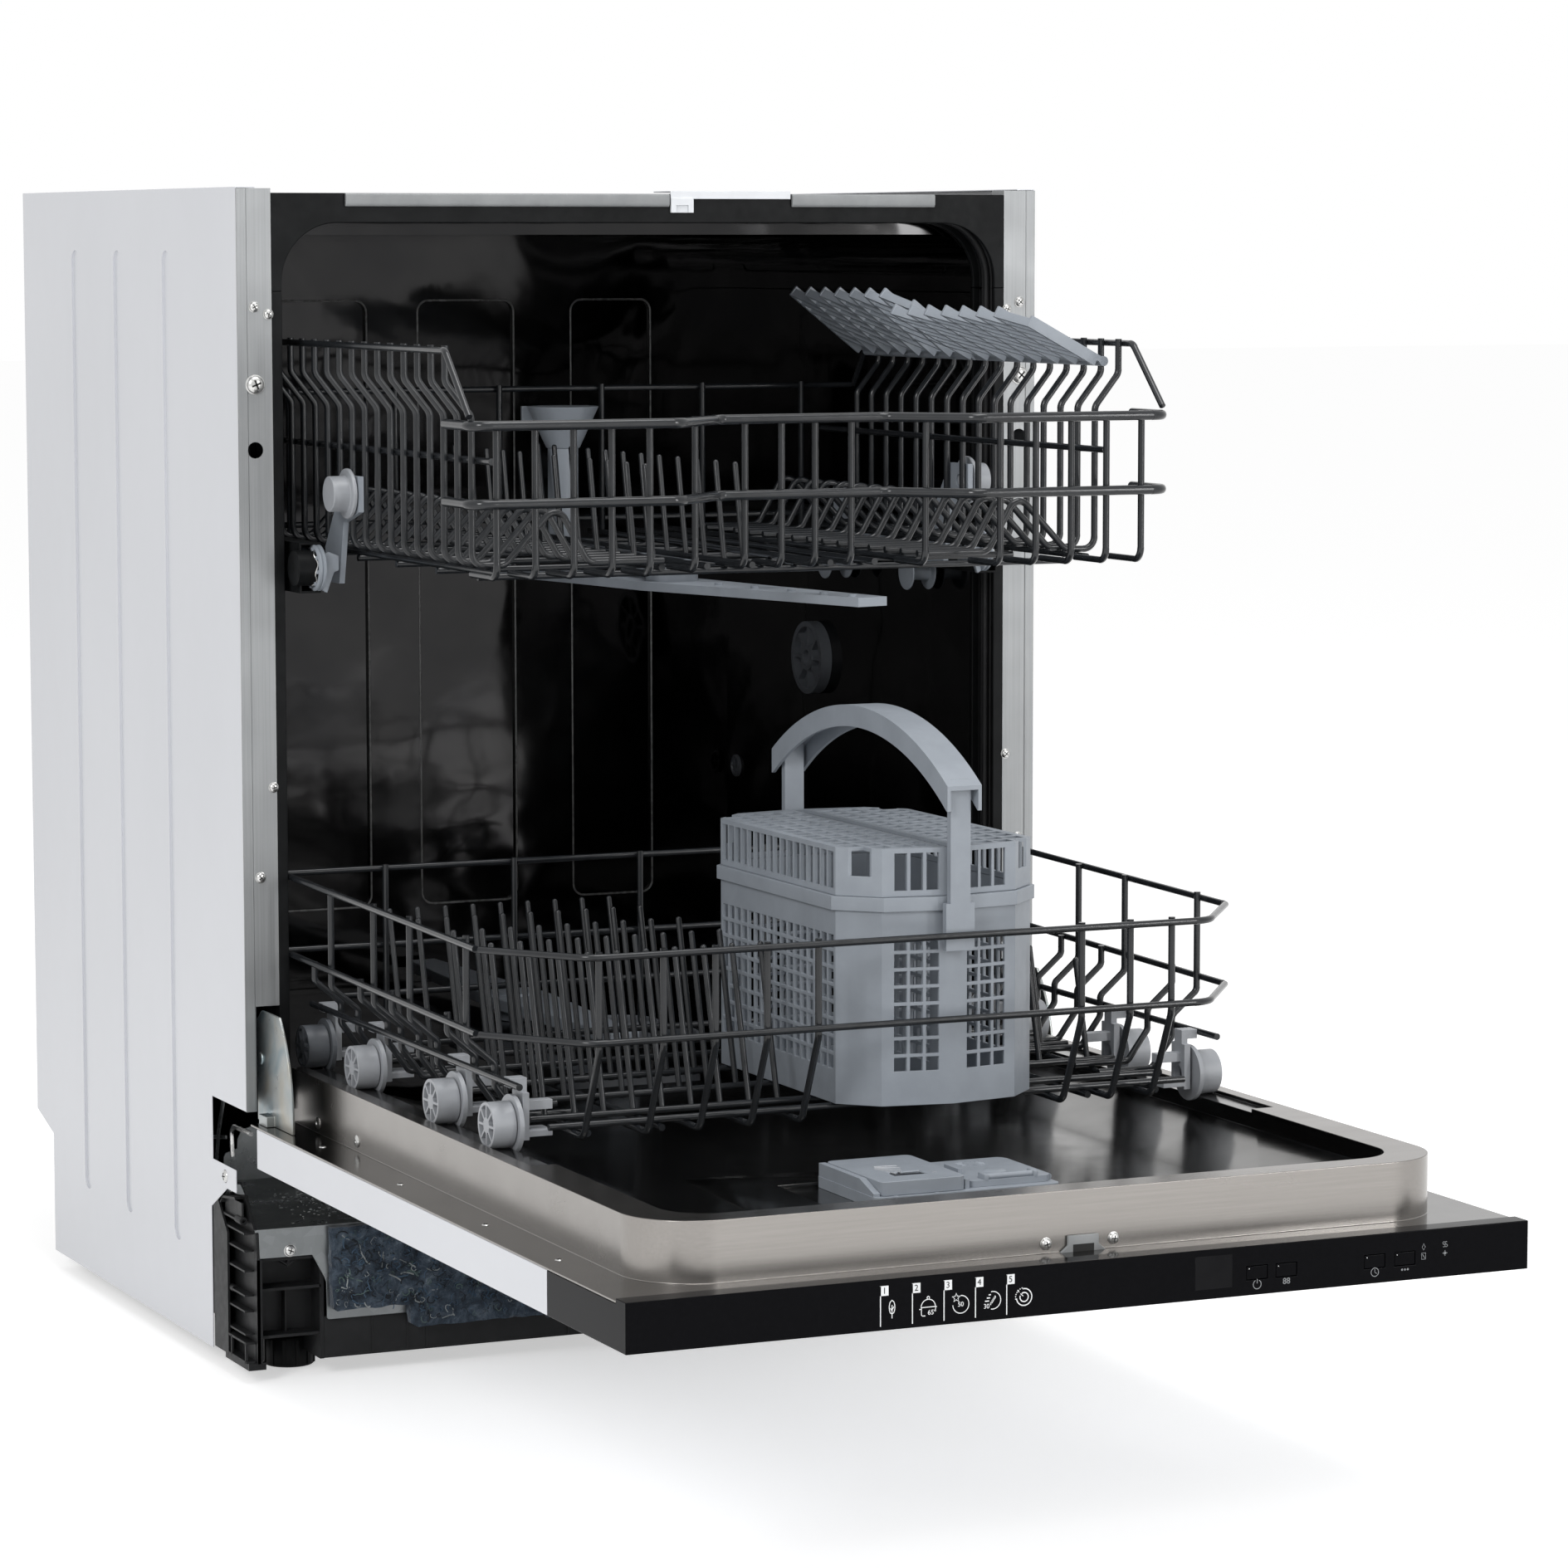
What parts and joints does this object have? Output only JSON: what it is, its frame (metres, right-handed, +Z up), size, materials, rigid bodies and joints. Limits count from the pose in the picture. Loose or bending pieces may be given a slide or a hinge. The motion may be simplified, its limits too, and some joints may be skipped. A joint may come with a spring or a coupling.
{
  "type": "built-in dishwasher",
  "caption": "Built-in dishwasher with its door lying open, both wire racks pulled out over it, a cutlery basket and a spray arm",
  "frame": {"origin": "middle of the footprint of the whole open machine, on the floor under its feet", "axes": "+X to the right as seen from the front, +Y from the open door into the cabinet, +Z up"},
  "size_m": [0.598, 1.178, 0.815],
  "materials": {
    "white_paint": "semi-gloss",
    "galvanised": "satin",
    "stainless": "polished",
    "black_plastic": "matte",
    "gloss_black": "glossy",
    "gray_plastic": "satin",
    "light_gray_plastic": "satin",
    "coated_wire": "semi-gloss",
    "seal_rubber": "matte",
    "trim_metal": "satin",
    "latch_white": "satin",
    "felt": "matte",
    "zinc": "satin"
  },
  "bodies": {
    "cabinet": {"side_panel_left": "white_paint", "side_panel_right": "white_paint", "front_posts": "galvanised", "frame_top": "black_plastic", "frame_sides": "black_plastic", "door_seal": "seal_rubber", "top_trims": "trim_metal", "door_latch": "latch_white", "tub_shell": "stainless", "tub_rear_wall": "stainless", "tub_floor": "stainless", "wall_vent": "gray_plastic", "sump_filter": "gray_plastic", "base_tray": "black_plastic", "base_brackets": "black_plastic", "front_crossbar": "galvanised", "felt_mat": "felt", "front_beam": "black_plastic", "feet": "black_plastic", "cabinet_screws": "zinc"},
    "tub_rollers_front": {"tub_rollers_front": "gray_plastic"},
    "tub_rollers_rear": {"tub_rollers_rear": "gray_plastic"},
    "lower_spray_arm": {"lower_spray_arm": "gray_plastic"},
    "rack_rails": {"rack_rails": "black_plastic"},
    "door": {"door_outer_panel": "white_paint", "door_liner": "stainless", "door_fascia": "gloss_black", "dispenser_body": "gray_plastic", "hinge_plates": "galvanised", "door_screws": "zinc"},
    "power_button": {"power_button": "gloss_black"},
    "programme_button": {"programme_button": "gloss_black"},
    "delay_button": {"delay_button": "gloss_black"},
    "option_button": {"option_button": "gloss_black"},
    "dispenser_lid": {"dispenser_lid": "gray_plastic"},
    "rinse_aid_flap": {"rinse_aid_flap": "gray_plastic"},
    "upper_rack": {"upper_rims": "coated_wire", "upper_side_wires": "coated_wire", "upper_front_wires": "coated_wire", "upper_floor": "coated_wire", "roller_clips": "gray_plastic", "rack_feed": "gray_plastic"},
    "upper_spray_arm": {"upper_spray_arm": "gray_plastic"},
    "cup_shelf_front": {"cup_shelf_front": "gray_plastic"},
    "cup_shelf_rear": {"cup_shelf_rear": "gray_plastic"},
    "rack_rollers_front": {"rack_rollers_front": "gray_plastic"},
    "rack_rollers_rear": {"rack_rollers_rear": "gray_plastic"},
    "spare_rollers": {"spare_rollers": "light_gray_plastic"},
    "lower_rack": {"lower_rims": "coated_wire", "lower_wires": "coated_wire", "lower_floor": "coated_wire", "wheel_clips": "light_gray_plastic"},
    "wheels_front": {"wheels_front": "light_gray_plastic"},
    "wheels_second": {"wheels_second": "light_gray_plastic"},
    "wheels_third": {"wheels_third": "light_gray_plastic"},
    "wheels_rear": {"wheels_rear": "light_gray_plastic"},
    "cutlery_basket": {"basket_body": "gray_plastic", "basket_handle": "gray_plastic"},
    "basket_lid_left": {"basket_lid_left": "gray_plastic"},
    "basket_lid_right": {"basket_lid_right": "gray_plastic"}
  },
  "joints": [
    {"name": "door_hinge", "type": "hinge", "parent": "cabinet", "child": "door", "pos_m": [0, 0.0595, 0.1645], "axis": [1, 0, 0], "range_deg": [0, 1.5]},
    {"name": "power_press", "type": "slide", "parent": "door", "child": "power_button", "axis": [0, 1, 0], "range_m": [0, 0.0012], "stiffness_N_per_m": 300},
    {"name": "programme_press", "type": "slide", "parent": "door", "child": "programme_button", "axis": [0, 1, 0], "range_m": [0, 0.0012], "stiffness_N_per_m": 300},
    {"name": "delay_press", "type": "slide", "parent": "door", "child": "delay_button", "axis": [0, 1, 0], "range_m": [0, 0.0012], "stiffness_N_per_m": 300},
    {"name": "option_press", "type": "slide", "parent": "door", "child": "option_button", "axis": [0, 1, 0], "range_m": [0, 0.0012], "stiffness_N_per_m": 300},
    {"name": "dispenser_lid_slide", "type": "slide", "parent": "door", "child": "dispenser_lid", "axis": [0, 1, 0], "range_m": [0, 0.06]},
    {"name": "rinse_aid_flap_hinge", "type": "hinge", "parent": "door", "child": "rinse_aid_flap", "pos_m": [0.062, -0.379, 0.1993], "axis": [0, 1, 0], "range_deg": [0, 100]},
    {"name": "upper_rack_slide", "type": "slide", "parent": "cabinet", "child": "upper_rack", "axis": [0, 1, 0], "range_m": [0, 0.27]},
    {"name": "rack_rails_slide", "type": "slide", "parent": "cabinet", "child": "rack_rails", "axis": [0, 1, 0], "range_m": [0, 0.022]},
    {"name": "tub_rollers_front_spin", "type": "hinge", "parent": "cabinet", "child": "tub_rollers_front", "pos_m": [0, 0.179, 0.53695], "axis": [1, 0, 0], "continuous": true},
    {"name": "tub_rollers_rear_spin", "type": "hinge", "parent": "cabinet", "child": "tub_rollers_rear", "pos_m": [0, 0.322, 0.53695], "axis": [1, 0, 0], "continuous": true},
    {"name": "rack_rollers_front_spin", "type": "hinge", "parent": "upper_rack", "child": "rack_rollers_front", "pos_m": [0, 0.091, 0.56], "axis": [1, 0, 0], "continuous": true},
    {"name": "rack_rollers_rear_spin", "type": "hinge", "parent": "upper_rack", "child": "rack_rollers_rear", "pos_m": [0, 0.249, 0.56], "axis": [1, 0, 0], "continuous": true},
    {"name": "spare_rollers_spin", "type": "hinge", "parent": "upper_rack", "child": "spare_rollers", "pos_m": [0, 0.052, 0.61], "axis": [1, 0, 0], "continuous": true},
    {"name": "upper_spray_arm_spin", "type": "hinge", "parent": "upper_rack", "child": "upper_spray_arm", "pos_m": [0, 0.041, 0.546], "axis": [0, 0, 1], "continuous": true},
    {"name": "cup_shelf_front_hinge", "type": "hinge", "parent": "upper_rack", "child": "cup_shelf_front", "pos_m": [0.235, -0.054, 0.698], "axis": [0, 1, 0], "range_deg": [-28, 62]},
    {"name": "cup_shelf_rear_hinge", "type": "hinge", "parent": "upper_rack", "child": "cup_shelf_rear", "pos_m": [0.235, 0.135, 0.698], "axis": [0, 1, 0], "range_deg": [-38, 52]},
    {"name": "lower_rack_slide", "type": "slide", "parent": "cabinet", "child": "lower_rack", "axis": [0, 1, 0], "range_m": [0, 0.437]},
    {"name": "wheels_front_spin", "type": "hinge", "parent": "lower_rack", "child": "wheels_front", "pos_m": [0, -0.265, 0.2318], "axis": [1, 0, 0], "continuous": true},
    {"name": "wheels_second_spin", "type": "hinge", "parent": "lower_rack", "child": "wheels_second", "pos_m": [0, -0.166, 0.2318], "axis": [1, 0, 0], "continuous": true},
    {"name": "wheels_third_spin", "type": "hinge", "parent": "lower_rack", "child": "wheels_third", "pos_m": [0, -0.016, 0.2318], "axis": [1, 0, 0], "continuous": true},
    {"name": "wheels_rear_spin", "type": "hinge", "parent": "lower_rack", "child": "wheels_rear", "pos_m": [0, 0.084, 0.2318], "axis": [1, 0, 0], "continuous": true},
    {"name": "basket_lift", "type": "slide", "parent": "lower_rack", "child": "cutlery_basket", "axis": [0, 0, 1], "range_m": [0, 0.05]},
    {"name": "basket_lid_left_hinge", "type": "hinge", "parent": "cutlery_basket", "child": "basket_lid_left", "pos_m": [-0.031, -0.2035, 0.3673], "axis": [0, -1, 0], "range_deg": [0, 90]},
    {"name": "basket_lid_right_hinge", "type": "hinge", "parent": "cutlery_basket", "child": "basket_lid_right", "pos_m": [0.107, -0.2035, 0.3673], "axis": [0, 1, 0], "range_deg": [0, 90]},
    {"name": "lower_spray_arm_spin", "type": "hinge", "parent": "cabinet", "child": "lower_spray_arm", "pos_m": [0, 0.336, 0.212], "axis": [0, 0, 1], "continuous": true}
  ],
  "couplings": [
    {"joint": "rack_rails_slide", "follows": "upper_rack_slide", "ratio": 0.08},
    {"joint": "tub_rollers_front_spin", "follows": "upper_rack_slide", "rad_per_m": -13.333},
    {"joint": "tub_rollers_rear_spin", "follows": "upper_rack_slide", "rad_per_m": -13.333},
    {"joint": "rack_rollers_front_spin", "follows": "upper_rack_slide", "rad_per_m": -63.014},
    {"joint": "rack_rollers_rear_spin", "follows": "upper_rack_slide", "rad_per_m": -63.014},
    {"joint": "wheels_front_spin", "follows": "lower_rack_slide", "rad_per_m": -68.966},
    {"joint": "wheels_second_spin", "follows": "lower_rack_slide", "rad_per_m": -68.966},
    {"joint": "wheels_third_spin", "follows": "lower_rack_slide", "rad_per_m": -68.966},
    {"joint": "wheels_rear_spin", "follows": "lower_rack_slide", "rad_per_m": -68.966}
  ]
}
